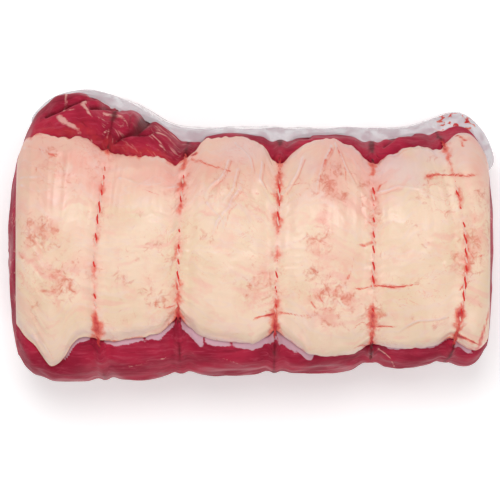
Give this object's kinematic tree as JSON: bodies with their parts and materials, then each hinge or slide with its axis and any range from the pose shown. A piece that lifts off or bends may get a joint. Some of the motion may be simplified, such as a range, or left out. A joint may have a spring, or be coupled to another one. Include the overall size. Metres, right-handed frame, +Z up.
{
  "type": "raw rolled beef joint",
  "caption": "Raw boned beef joint with a thick fat cap, rolled and tied round with red and white butcher's twine, with a trimmed skirt of clear film along its back.",
  "frame": {"origin": "middle of the joint's box, on the surface that the joint lies on", "axes": "+X along the joint, from the end with the shoulder of muscle to the squarer end; +Y to the back, where the film is; +Z up through the fat cap"},
  "size_m": [0.2386, 0.144, 0.0911],
  "materials": {
    "muscle": "moist raw muscle with a soft uneven gloss",
    "fat": "smooth cream fat, pinker at its edges",
    "twine": "twisted cotton, one white and one red strand",
    "film": "thin clear film, milky where it is creased"
  },
  "bodies": {
    "root": {"meat": "muscle", "fat_cap": "fat", "twine_1": "twine", "twine_2": "twine", "twine_3": "twine", "twine_4": "twine", "twine_5": "twine", "film": "film"}
  },
  "joints": []
}
